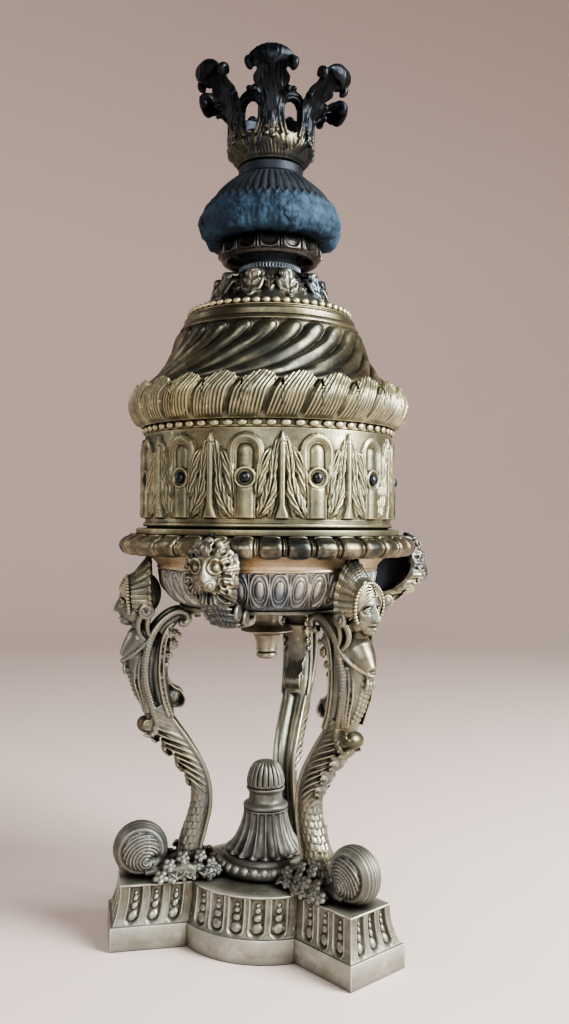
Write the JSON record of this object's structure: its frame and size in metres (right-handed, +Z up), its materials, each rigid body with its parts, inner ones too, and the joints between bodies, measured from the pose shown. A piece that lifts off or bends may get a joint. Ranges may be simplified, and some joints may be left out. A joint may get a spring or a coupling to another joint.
{
  "type": "standing oil lamp",
  "caption": "Standing brass oil lamp: bust-topped scroll legs on a lobed plinth, bowl with lift-out oil pan, domed cover and leaf crown.",
  "frame": {"origin": "on the lamp's axis, at the plane of the plinth's underside, which the lamp stands on", "axes": "+Z up along the lamp's axis; +Y towards the back leg; the other legs at 120 degrees either side; -Y towards the front mask"},
  "size_m": [0.1526, 0.1619, 0.4268],
  "materials": {
    "plinth_gilt": "aged gilding, grey oxidation in the frieze",
    "leg_gilt": "aged gilding worn on the high points",
    "grey_brass": "silver-grey oxidised brass",
    "dome_gilt": "muted olive-gold gilding, dark recesses",
    "mask_gilt": "muted gilding, blackened backs",
    "bare_brass": "orange-brown bare brass, satin",
    "pan_brass": "dull spun sheet",
    "polished_brown_brass": "rubbed, brown",
    "verdigris": "rough blue verdigris",
    "dark_bronze": "blue-black patina",
    "tube_brass": "threaded lamp tube, dull",
    "steel": "dull, lightly rusted"
  },
  "bodies": {
    "stand": {"bowl": "bare_brass", "bowl_frieze": "dome_gilt", "bowl_plate": "bare_brass", "bowl_screws": "steel", "bracket_screws": "steel", "bust_back": "leg_gilt", "bust_left": "leg_gilt", "bust_right": "leg_gilt", "finial_bell": "grey_brass", "finial_cap": "grey_brass", "finial_foot": "grey_brass", "finial_neck": "grey_brass", "finial_nut": "steel", "finial_stud": "steel", "finial_washer": "steel", "foot_flowers_back": "grey_brass", "foot_flowers_left": "grey_brass", "foot_flowers_right": "grey_brass", "foot_screws": "steel", "foot_shell_back": "grey_brass", "foot_shell_left": "grey_brass", "foot_shell_right": "grey_brass", "gadroon_rim": "dome_gilt", "leg_back": "leg_gilt", "leg_left": "leg_gilt", "leg_right": "leg_gilt", "mask_bracket_east": "mask_gilt", "mask_bracket_front": "mask_gilt", "mask_bracket_west": "mask_gilt", "mask_east": "mask_gilt", "mask_front": "mask_gilt", "mask_pins": "steel", "mask_west": "mask_gilt", "pendant_collar": "bare_brass", "pendant_drop": "bare_brass", "pendant_tip": "bare_brass", "plinth": "plinth_gilt", "seat_flange": "dome_gilt", "tie_bolt": "steel"},
    "pan": {"oil_pan": "pan_brass"},
    "cover": {"drum": "dome_gilt", "drum_base_ring": "dome_gilt", "drum_bosses": "dark_bronze", "drum_bead_ring": "dome_gilt", "dome": "dome_gilt", "acanthus_ring": "dome_gilt", "dome_cap_plate": "dome_gilt", "cap_bead_ring": "dome_gilt", "leaf_socle": "dome_gilt", "neck_spool": "dark_bronze", "egg_ring": "polished_brown_brass", "leaf_bulb": "verdigris", "neck_nut": "steel", "dome_nut": "steel", "dome_washer": "steel", "draw_tube": "tube_brass"},
    "crown": {"crown_collar": "dark_bronze", "crown_cup": "dark_bronze", "leaf_crown": "dark_bronze"}
  },
  "joints": [
    {"name": "pan_lift", "type": "slide", "parent": "stand", "child": "pan", "axis": [0, 0, 1], "range_m": [0, 0.04]},
    {"name": "cover_lift", "type": "slide", "parent": "stand", "child": "cover", "axis": [0, 0, 1], "range_m": [0, 0.12]},
    {"name": "crown_turn", "type": "hinge", "parent": "cover", "child": "crown", "pos_m": [0, 0, 0.38], "axis": [0, 0, 1], "continuous": true}
  ]
}
